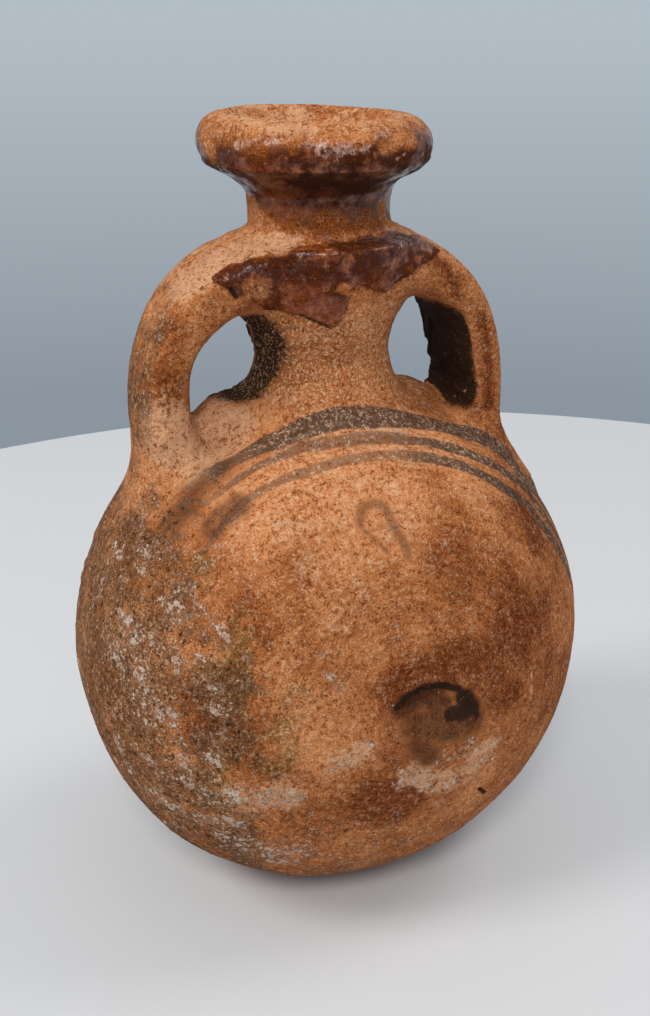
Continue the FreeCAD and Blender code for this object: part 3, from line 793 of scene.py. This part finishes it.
def slip_map(points):
    """Dark burnished slip on the mouth, the upper neck and the collar, worn off the high parts."""
    place = x, y, z = points.T
    from_mouth = np.hypot(x - MOUTH_X, y)
    from_neck = np.hypot(x - NECK_X, y)
    outside = rise(LIP_R - ROLL_R - 0.8 * MM, LIP_R - ROLL_R + 2.2 * MM, from_mouth)
    outside = np.where(z < UNDERCUT_Z, 1, outside)
    crest = LIP_TOP - 2.3 * MM + 0.9 * MM * noise(place, 6, 81)
    mouth = outside * (1 - 0.85 * rise(crest - 1.8 * MM, crest + 2.2 * MM, z))
    mouth = mouth * (1 + 0.6 * fall(LIP_TOP - 6.2 * MM, LIP_TOP - 3.2 * MM, z))
    ragged = 0.5 * MM * rough(place, 2.4, 83)
    foot = line_height(points, NECK_SLIP_FOOT) + 1.6 * ragged
    mouth = mouth * rise(foot - 0.5 * MM, foot + 1.3 * MM, z)
    left = rise_mm(4, 15, NECK_X - x)
    mouth = mouth * (1 - 0.25 * left * rise(-0.2, 0.4, -y / LIP_R))

    top = line_height(points, COLLAR_SLIP_TOP)
    bottom = line_height(points, COLLAR_SLIP_FOOT)
    skirt = (rise(bottom - 0.25 * MM, bottom + 0.25 * MM, z + 0.5 * ragged)
             * fall(top - 0.1 * MM, top + 0.9 * MM, z + ragged))
    skirt = skirt * (y < 0) * (top - bottom > 0.35 * MM)
    ring_low = RIDGE_LOW - 5.5 * MM + 2.5 * MM * noise(place, 8, 82)
    ring = (rise(ring_low - 0.6 * MM, ring_low + 0.6 * MM, z)
            * fall(RIDGE_LOW, RIDGE_LOW + MM, z)
            * fall(RIDGE_R + 0.5 * MM, RIDGE_R + 2 * MM, from_neck))
    from_back = np.abs(np.arctan2(x - NECK_X, y)) + 0.30 * noise(place, 5, 84)
    ring = ring * fall(0.55, 1.05, from_back)
    ring = ring * rise(-0.55, 0.10, rough(place, 5, 85))
    thinned = 1 - 0.60 * fall(FUNNEL_Z - MM, FUNNEL_Z + MM, z)
    coat = np.maximum(np.maximum(mouth * thinned, ring), skirt)
    return coat * (1 - 0.85 * marks(points, SLIP_WEAR)), skirt


def paint_maps(points, normals):
    """What the clay material reads, mostly from 0 to 1, and the slip's thick skirt."""
    place = x, y, z = points.T
    from_neck = np.hypot(x - NECK_X, y)
    # Painted light: clay that faces upward is made paler, as if lit from above
    painted_top_light = rise(0.0, 0.9, normals[:, 2])
    belly = fall_mm(80, 90, z)
    slip, skirt = slip_map(points)
    maps = {"slip": slip, "skirt": skirt, "paint": band_map(points)}

    edge = (PATINA_X - 8 * MM * rise_mm(60, 76, z)
            + 4.5 * MM * noise(place, 9, 91) + 3.5 * MM * rough(place, 4, 95))
    left = fall(edge - 7 * MM, edge + 5 * MM, x)
    far_left = fall_mm(-39, -30, x)
    behind = rise_mm(-4, 12, y)
    low = fall_mm(8, 30, z)
    lower_half = fall_mm(12, 54, z)
    outer_side = rise(0.6, 0.9, -normals[:, 0]) * (x < PATINA_X) * (1 - belly)
    drift = 0.5 + 0.5 * rough(place, 14, 98)
    # Brown patina on the left and behind, and the clay made darker brown towards the bottom
    maps["patina"] = unit((0.66 * left * (1 - 0.4 * behind) + 0.24 * far_left * (1 - behind)
                           + 0.90 * behind * drift) * belly + 0.46 * low
                          + 0.62 * outer_side * (0.5 + drift) + 0.30 * marks(points, BROWNED))
    maps["olive"] = unit(0.66 * marks(points, OLIVE_PATCHES) + 0.30 * outer_side
                         + 0.30 * left * belly * (1 - behind))
    scatter = (0.07 * left + 0.06 * far_left) * belly + 0.15 * low + 0.10 * behind
    scatter = scatter + 0.04 * outer_side
    clusters = rise(0.12, 0.50, rough(place, 3.2, 92))
    wild = (0.40 * left * belly + 0.34 * low + 0.26 * behind + 0.06 * outer_side) * clusters
    cluster_edge = 0.45 * noise(place, 1.6, 96)
    clumps = unit(1.35 * marks(points, CRUST_PATCHES) + cluster_edge - 0.22)
    dust = 0.60 * marks(points, DUST_PATCHES)
    maps["crust"] = unit(np.maximum.reduce((scatter, wild, dust, clumps)))
    on_neck_front = rise_mm(84, 90, z) * fall_mm(100, 108, z) * fall_mm(13, 16, from_neck)
    maps["grit"] = unit(0.04 + 0.50 * on_neck_front + 0.16 * low + 0.12 * left
                        + 0.12 * noise(place, 8, 97))

    # Dark inside the handles' eyes: partly dark deposit, partly painted shade in the narrow gap
    # between strap and neck
    inward = -np.sign(x - NECK_X) * normals[:, 0]
    in_arch = rise_mm(82, 85, z) * fall_mm(99, 104, z)
    rear = np.where(x < NECK_X, rise_mm(-2, 4, y), 1)
    on_strap = np.where(from_neck > 15 * MM, inward, 0) * rear
    on_neck = np.where(from_neck > 15 * MM, 0, -inward) * rise_mm(-3, 4, y)
    on_neck = 0.8 * on_neck * (0.6 + 0.6 * noise(place, 4, 99))
    eye_dirt_and_shade = in_arch * rise(0.20, 0.62, np.maximum(on_strap, on_neck))
    # Painted shade: the downward-facing funnel under the lip's roll is darkened
    shade_under_lip = (rise(FUNNEL_Z - 0.5 * MM, FUNNEL_Z + 2 * MM, z)
                 * rise(0.25, 0.55, -normals[:, 2]) * (z < LIP_TOP - ROLL_R))
    soot_and_shade_marks = marks(points, SOOT_AND_SHADE_MARKS)
    # Soot and dirt, and painted shade in the eyes and under the lip
    maps["soot"] = unit(np.maximum.reduce((eye_dirt_and_shade, soot_and_shade_marks, 0.50 * shade_under_lip)))
    maps["mark"] = np.maximum.reduce([dark * marks(points, group) for group, dark in DARK_MARKS])
    # Paler ochre: the clay's own pale patches, with painted light on upward-facing clay and on the
    # brightest-lit patches
    maps["tan"] = unit(0.70 * marks(points, PALE_PATCHES) + 0.40 * painted_top_light * (1 - belly)
                       + 0.34 * marks(points, PAINTED_LIGHT_PATCHES) + 0.12 * painted_top_light)
    # Pale pink worn slip on the ridge and the lip, with painted glints and highlights
    maps["worn"] = np.maximum(0.9 * marks(points, RIDGE_GLINTS_AND_WEAR), 0.50 * marks(points, LIP_HIGHLIGHTS_AND_WEAR))

    # Redder clay in random patches, in marked places and to the right, and darker and redder
    # towards the bottom
    maps["red"] = unit(0.34 + 0.26 * noise(place, 16, 93) + 0.20 * noise(place, 7, 94)
                       + 0.50 * marks(points, REDDENED) - 0.22 * marks(points, PAINTED_LIGHT_PATCHES)
                       + 0.14 * rise_mm(6, 30, x) * belly + 0.26 * lower_half)
    return maps


def relief(points, maps):
    """How far wear, grit and crust lift or lower the skin."""
    place = x, y, z = points.T
    lumps = rise(0.10, 0.50, rough(place, 1.6, 41)) * rise(0.15, 0.7, maps["crust"])
    pits = rise(0.45, 0.7, rough(place, 2.6, 51))
    coat = rise(0.35, 0.65, maps["slip"])
    flake = rise(0.4, 0.6, maps["skirt"])
    burnt = (rise(0.0, 0.5, rough(place, 1.8, 45)) * rise(0.3, 0.9, maps["soot"])
             * (z < 104 * MM))
    return (0.07 * MM * rough(place, 1.5, 61) + 0.24 * MM * lumps - 0.18 * MM * pits
            + 0.40 * MM * burnt + 0.06 * MM * coat + 0.34 * MM * flake
            - 0.45 * MM * marks(points, CRACKS) - 0.30 * MM * marks(points, DENT))


# The clay material

CLAY_ORANGE = (0.60, 0.235, 0.088)
CLAY_BROWN = (0.39, 0.125, 0.036)
CLAY_RED = (0.185, 0.044, 0.010)
OCHRE = (0.66, 0.340, 0.180)
PINK_GRIT = (0.80, 0.47, 0.26)
# Pale pink of worn slip, also used for painted glints and highlights
WORN_EDGE_AND_GLINT = (0.60, 0.36, 0.28)
PATINA = (0.150, 0.064, 0.024)
PATINA_GREY = (0.145, 0.076, 0.048)
OLIVE = (0.165, 0.094, 0.022)
SLIP_DARK = (0.062, 0.009, 0.001)
SLIP_RED = (0.185, 0.033, 0.003)
SLIP_THIN = (0.32, 0.082, 0.010)
PAINT_GREY = (0.072, 0.054, 0.044)
CRUST_PALE = (0.66, 0.53, 0.44)
CRUST_TAN = (0.40, 0.245, 0.150)
PIT_SHADE = (0.26, 0.18, 0.13)
# Near black: dark marks, soot, and painted shade
SOOT_AND_SHADE = (0.012, 0.007, 0.005)

# Half the range that a shader's noise mostly fills, on either side of 0.5
NOISE_SPREAD = 0.17
# The height of noise that almost nothing passes, how far an amount of 1 raises it, and the step
# at a speck's edge
SPECK_NONE = 0.69
SPECK_RANGE = 0.27
SPECK_EDGE = 0.035
# How much finer throwing lines are across than along
RING_STRETCH = 7.0
# How far grains are shaken out of their cells, as a share of their size
SHAKE = 1.6


class Nodes:
    """Short names for the shader nodes that a material or the world is mixed from."""

    def __init__(self, owner):
        owner.use_nodes = True
        self.tree = owner.node_tree
        self.tree.nodes.clear()
        self.place = self.add("ShaderNodeTexCoord").outputs["Object"]

    def add(self, kind, inputs=None, **settings):
        """A new node. Each input is fed by another node's output or holds a plain value."""
        node = self.tree.nodes.new(kind)
        for name, value in settings.items():
            setattr(node, name, value)
        for name, value in (inputs or {}).items():
            socket = node.inputs[name]
            if isinstance(value, bpy.types.NodeSocket):
                self.tree.links.new(value, socket)
            elif isinstance(value, tuple) and len(value) < len(socket.default_value):
                socket.default_value = (*value, 1)
            else:
                socket.default_value = value
        return node

    def texture(self, scale, detail, roughness=0.5, place=None):
        return self.add("ShaderNodeTexNoise", {
            "Vector": place or self.place, "Scale": scale, "Detail": detail,
            "Roughness": roughness})

    def noise(self, size, detail, roughness, place=None):
        """Noise of a lump size in mm, stretched so that it runs from about 0 to 1."""
        lumps = self.texture(1 / (size * MM), detail, roughness, place).outputs["Fac"]
        return self.add("ShaderNodeMapRange", {
            "Value": lumps, "From Min": 0.5 - NOISE_SPREAD,
            "From Max": 0.5 + NOISE_SPREAD}).outputs["Result"]

    def specks(self, size, amount):
        """1 on ragged specks of a size in mm: hardly any where amount is 0, and nearly all over
        where it is 1."""
        lumps = self.texture(1 / (size * MM), 3, 0.68).outputs["Fac"]
        raised = self.math("MULTIPLY_ADD", amount, SPECK_RANGE, lumps)
        return self.step(SPECK_NONE, SPECK_NONE + SPECK_EDGE, raised)

    def granules(self, size, amount):
        """1 on ragged grains of a size in mm, in the share of places that amount gives."""
        size = size * MM
        shake = self.texture(SHAKE / size, 3).outputs["Color"]
        shaken = self.add("ShaderNodeVectorMath", {0: shake, 1: (SHAKE * size,) * 3, 2: self.place},
                          operation="MULTIPLY_ADD").outputs[0]
        cells = self.add("ShaderNodeTexVoronoi", {"Vector": shaken, "Scale": 1 / size}).outputs
        random = self.add("ShaderNodeSeparateColor", {0: cells["Color"]}).outputs
        reach = self.math("MULTIPLY_ADD", random["Green"], 0.34, 0.24)
        reach = self.math("ADD", reach, self.step(0.55, 1.0, amount, 0.0, 0.07))
        here = self.step(0.0, 0.08, self.math("SUBTRACT", amount, random["Red"]))
        body = self.step(0.0, 0.12, self.math("SUBTRACT", reach, cells["Distance"]))
        return self.times(here, body)

    def map(self, name):
        return self.add("ShaderNodeAttribute", attribute_name=name).outputs["Fac"]

    def math(self, operation, *values):
        return self.add("ShaderNodeMath", dict(enumerate(values)), operation=operation).outputs[0]

    def times(self, first, second):
        return self.math("MULTIPLY", first, second)

    def less(self, value, share):
        """What a share of a value leaves of 1."""
        return self.math("MULTIPLY_ADD", value, -share, 1.0)

    def blended(self, first, *layers):
        """first, with each layer's departure from 0.5 laid on it in the share given beside it."""
        for layer, share in layers:
            first = self.math("ADD", first, self.math("MULTIPLY_ADD", layer, share, -share / 2))
        return first

    def step(self, low, high, value, start=0.0, end=1.0):
        return self.add("ShaderNodeMapRange", {
            "Value": value, "From Min": low, "From Max": high, "To Min": start, "To Max": end,
        }, interpolation_type="SMOOTHSTEP").outputs["Result"]

    def mix(self, share, first, second, blend="MIX"):
        return self.add("ShaderNodeMix", {0: share, 6: first, 7: second}, data_type="RGBA",
                        blend_type=blend).outputs[2]

    def cover(self, paint, share, strength=None, blend="MIX"):
        """Lay another colour on the one mixed so far."""
        if strength is not None:
            share = self.times(share, strength)
        self.colour = self.mix(share, self.colour, paint, blend)

    def bump(self, height, distance, strength):
        return self.add("ShaderNodeBump", {
            "Height": height, "Distance": distance, "Strength": strength}).outputs["Normal"]

    def rings(self):
        """A place whose first part is the distance from the belly's axis: for throwing lines."""
        split = self.add("ShaderNodeSeparateXYZ", {0: self.place}).outputs
        across, up = split["X"], self.math("SUBTRACT", split["Z"], float(BODY_R))
        away = self.math("SQRT", self.math("ADD", self.times(across, across), self.times(up, up)))
        return self.add("ShaderNodeCombineXYZ", {
            0: self.times(away, RING_STRETCH), 1: across,
            2: self.math("ADD", up, split["Y"])}).outputs[0]

    def surface(self, inputs):
        shader = self.add("ShaderNodeBsdfPrincipled", inputs)
        self.add("ShaderNodeOutputMaterial", {"Surface": shader.outputs["BSDF"]})


def clay_material(name):
    """Gritty fired clay under patina, paint, burnished slip, soot and soil crust, with painted
    light, shade and glints among them.
    """
    material = bpy.data.materials.new(name)
    n = Nodes(material)
    rings = n.rings()
    fine = n.noise(0.30, 2, 0.6)
    grain = n.noise(0.8, 4, 0.7)
    patchy = n.noise(2.2, 5, 0.68)
    blotch = n.noise(5.5, 5, 0.65)
    cloud = n.noise(15, 4, 0.55)
    streak = n.noise(5.5, 4, 0.6, rings)
    wiped = n.noise(2.4, 4, 0.65, rings)

    red = n.blended(n.map("red"), (blotch, 0.40), (streak, 0.32), (patchy, 0.46), (grain, 0.26),
                    (wiped, 0.14))
    n.colour = n.mix(n.step(0.05, 0.50, red), CLAY_ORANGE, CLAY_BROWN)
    n.cover(CLAY_RED, n.step(0.48, 0.95, red))
    # Paler ochre, partly the clay's own tone and partly painted light
    tan = n.blended(n.map("tan"), (blotch, 0.4), (patchy, 0.3), (grain, 0.3))
    n.cover(OCHRE, n.step(0.36, 0.80, tan), 0.85)
    olive = n.blended(n.map("olive"), (blotch, 0.35), (patchy, 0.35), (cloud, 0.2))
    n.cover(OLIVE, n.step(0.45, 0.80, olive), 0.60)
    # Patina brown, and darker towards the bottom
    aged_and_darker_bottom = n.blended(n.map("patina"), (blotch, 0.60), (patchy, 0.62), (grain, 0.40))
    greyer = n.step(0.50, 1.05, n.blended(patchy, (blotch, 0.7), (grain, 0.5)))
    n.cover(n.mix(greyer, PATINA, PATINA_GREY), n.step(0.28, 0.85, aged_and_darker_bottom), 0.84)
    ink = n.times(n.map("paint"), n.blended(1.0, (grain, 0.55), (patchy, 0.40), (fine, 0.45)))
    n.cover(PAINT_GREY, n.step(0.22, 0.66, ink), 0.86)

    wear = n.blended(1.0, (blotch, 0.70), (patchy, 0.60), (grain, 0.35))
    worn_slip = n.times(n.map("slip"), wear)
    n.cover(SLIP_THIN, n.step(0.05, 0.40, worn_slip, 0.0, 0.80))
    coat = n.step(0.30, 0.90, worn_slip)
    redder = n.step(0.30, 0.80, n.blended(cloud, (blotch, 0.6), (patchy, 0.5)))
    thin = n.step(0.62, 1.05, n.blended(patchy, (grain, 0.7), (blotch, 0.5)))
    slip = n.mix(n.times(thin, 0.70), n.mix(redder, SLIP_DARK, SLIP_RED), SLIP_THIN)
    n.cover(slip, coat, 0.96)

    bare = n.less(coat, 0.95)
    mottle = n.blended(grain, (fine, 0.75), (patchy, 0.6), (wiped, 0.14))
    light = n.times(n.step(0.57, 1.18, mottle, 0.0, 0.75), bare)
    n.cover(PINK_GRIT, n.times(light, n.less(red, 0.50)))
    n.cover(PIT_SHADE, n.step(0.51, -0.17, mottle, 0.0, 0.87), blend="MULTIPLY")
    pits = n.specks(1.1, n.math("MULTIPLY_ADD", n.map("patina"), 0.32, 0.10))
    n.cover(PIT_SHADE, pits, 0.85, "MULTIPLY")

    mark = n.blended(n.map("mark"), (grain, 0.34), (fine, 0.25))
    n.cover(SOOT_AND_SHADE, n.step(0.16, 0.80, mark), 0.94)
    # Soot, dirt and painted shade from the map, broken up by grain
    dirt_and_shade = n.blended(n.map("soot"), (grain, 0.50), (fine, 0.45), (patchy, 0.30))
    dirt_and_shade = n.times(n.step(0.20, 0.80, dirt_and_shade), n.step(0.0, 0.15, n.map("soot")))
    n.cover(SOOT_AND_SHADE, dirt_and_shade, 0.95)
    # Pale pink worn slip, with painted glints and highlights
    worn = n.blended(n.map("worn"), (grain, 0.6), (patchy, 0.4))
    n.cover(WORN_EDGE_AND_GLINT, n.step(0.25, 0.80, worn), 0.80)

    clear = n.times(bare, n.less(dirt_and_shade, 0.45))
    grit = n.times(n.specks(0.50, n.map("grit")), clear)
    n.cover(PINK_GRIT, grit, 0.62)
    crust = n.map("crust")
    large = n.granules(1.25, n.math("MULTIPLY_ADD", crust, 1.15, -0.16))
    soil = n.math("MAXIMUM", large, n.granules(0.65, n.times(crust, 0.85)))
    n.cover(CRUST_TAN, crust, 0.10)
    whiteness = n.step(0.12, 0.90, n.blended(patchy, (fine, 0.6)))
    n.cover(n.mix(whiteness, CRUST_TAN, CRUST_PALE), soil, 0.85)

    polished = n.step(0.22, 0.85, n.blended(blotch, (patchy, 0.7)))
    height = n.blended(0.5, (grain, 0.8), (fine, 0.35), (patchy, 0.8), (wiped, 0.3), (soil, 0.9),
                       (grit, 0.3), (pits, -0.6))
    n.surface({
        "Base Color": n.colour,
        "Roughness": n.math("MULTIPLY_ADD", coat, -0.30, 0.92),
        "Specular IOR Level": 0.08,
        "Coat Weight": n.times(n.step(0.06, 0.50, worn_slip), polished),
        "Coat Roughness": 0.12,
        "Coat IOR": 1.42,
        "Normal": n.bump(height, 0.21 * MM, 0.9),
        "Coat Normal": n.bump(n.blended(0.5, (grain, 0.5), (patchy, 0.9)), 0.055 * MM, 1.0),
    })
    return material


# Pieces

PIECES = (
    ("front_bowl", "painted_clay", BROAD),
    ("back_bowl", "plain_clay", BROAD),
    ("neck_tube", "plain_clay", FINE),
    ("root_coil", "plain_clay", FINE),
    ("mouth", "slipped_clay", FINE),
    ("neck_collar", "slipped_clay", FINE),
    ("left_handle", "plain_clay", FINE),
    ("right_handle", "plain_clay", FINE),
)
materials = {slot: clay_material(slot) for slot in ("painted_clay", "plain_clay", "slipped_clay")}


def add_object(name, data):
    added = bpy.data.objects.new(name, data)
    bpy.context.scene.collection.objects.link(added)
    return added


def build_piece(node, slot, step):
    points, quads = piece_net(node, step)
    normals = vertex_normals(points, quads)
    maps = paint_maps(points, normals)
    points = points + normals * relief(points, maps)[:, None]
    mesh = bpy.data.meshes.new(node + "_clay")
    mesh.from_pydata(points.tolist(), [], quads.tolist())
    mesh.polygons.foreach_set("use_smooth", [True] * len(quads))
    for name, values in maps.items():
        layer = mesh.attributes.new(name, "FLOAT", "POINT")
        layer.data.foreach_set("value", np.asarray(values, np.float32))
    mesh.materials.append(materials[slot])
    mesh.update()
    piece = add_object(node + "_clay", mesh)
    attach(piece, "root")
    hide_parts(node)


for node, slot, step in PIECES:
    build_piece(node, slot, step)

# Table, wall, light and camera

TABLE_MIDDLE = Vector((23, -23, 0)) * MM
TABLE_R = 262 * MM
TABLE_COLOUR = (0.625, 0.635, 0.65)
TABLE_ROUGHNESS = 0.9
TABLE_CORNERS = 128
# The wall's colours, and the steepness of the view where the lower ends and the higher begins
WALL_LOW = (0.255, 0.300, 0.345)
WALL_HIGH = (0.45, 0.51, 0.565)
WALL_HEIGHTS = (-0.30, -0.02)
ROOM_COLOUR = (0.88, 0.94, 1.0)
ROOM_STRENGTH = 0.50
# Each lamp's place, power, width and colour
LAMPS = {
    "left": ((-0.64, -0.04, 0.72), 3.2, 0.30, (1.0, 0.97, 0.93)),
    "right": ((0.55, -0.06, 0.86), 2.0, 0.42, (1.0, 0.98, 0.96)),
    "front": ((-0.30, -0.62, 0.74), 4.0, 0.26, (1.0, 0.97, 0.94)),
}
LAMP_AIM = Vector((0, 0, 60 * MM))


def make_table():
    material = bpy.data.materials.new("table")
    Nodes(material).surface({"Base Color": TABLE_COLOUR, "Roughness": TABLE_ROUGHNESS})
    turns = np.linspace(0, 2 * math.pi, TABLE_CORNERS, endpoint=False)
    rim = [(TABLE_MIDDLE.x + TABLE_R * math.cos(turn), TABLE_MIDDLE.y + TABLE_R * math.sin(turn), 0)
           for turn in turns]
    mesh = bpy.data.meshes.new("table")
    mesh.from_pydata(rim, [], [range(len(rim))])
    mesh.materials.append(material)
    add_object("table", mesh)


def make_world():
    """Soft even light, behind a wall that the camera alone sees."""
    world = bpy.data.worlds.new("room")
    bpy.context.scene.world = world
    n = Nodes(world)
    place = n.add("ShaderNodeTexCoord").outputs["Generated"]
    direction = n.add("ShaderNodeSeparateXYZ", {0: place})
    low, high = WALL_HEIGHTS
    height = n.add("ShaderNodeMapRange", {
        "Value": direction.outputs["Z"], "From Min": low, "From Max": high})
    wall = n.mix(height.outputs["Result"], WALL_LOW, WALL_HIGH)
    light = n.add("ShaderNodeBackground", {"Color": ROOM_COLOUR, "Strength": ROOM_STRENGTH})
    seen = n.add("ShaderNodeBackground", {"Color": wall})
    rays = n.add("ShaderNodeLightPath")
    choice = n.add("ShaderNodeMixShader", {
        0: rays.outputs["Is Camera Ray"], 1: light.outputs[0], 2: seen.outputs[0]})
    n.add("ShaderNodeOutputWorld", {"Surface": choice.outputs[0]})


def make_lamp(name, place, power, width, colour):
    data = bpy.data.lights.new(name, "AREA")
    data.shape = "DISK"
    data.size = width
    data.energy = power
    data.color = colour
    lamp = add_object(name, data)
    lamp.location = Vector(place)
    lamp.rotation_euler = (LAMP_AIM - lamp.location).to_track_quat("-Z", "Y").to_euler()


make_table()
make_world()
for name, lamp in LAMPS.items():
    make_lamp(name, *lamp)
make_camera()

bpy.context.scene.view_settings.view_transform = "Standard"
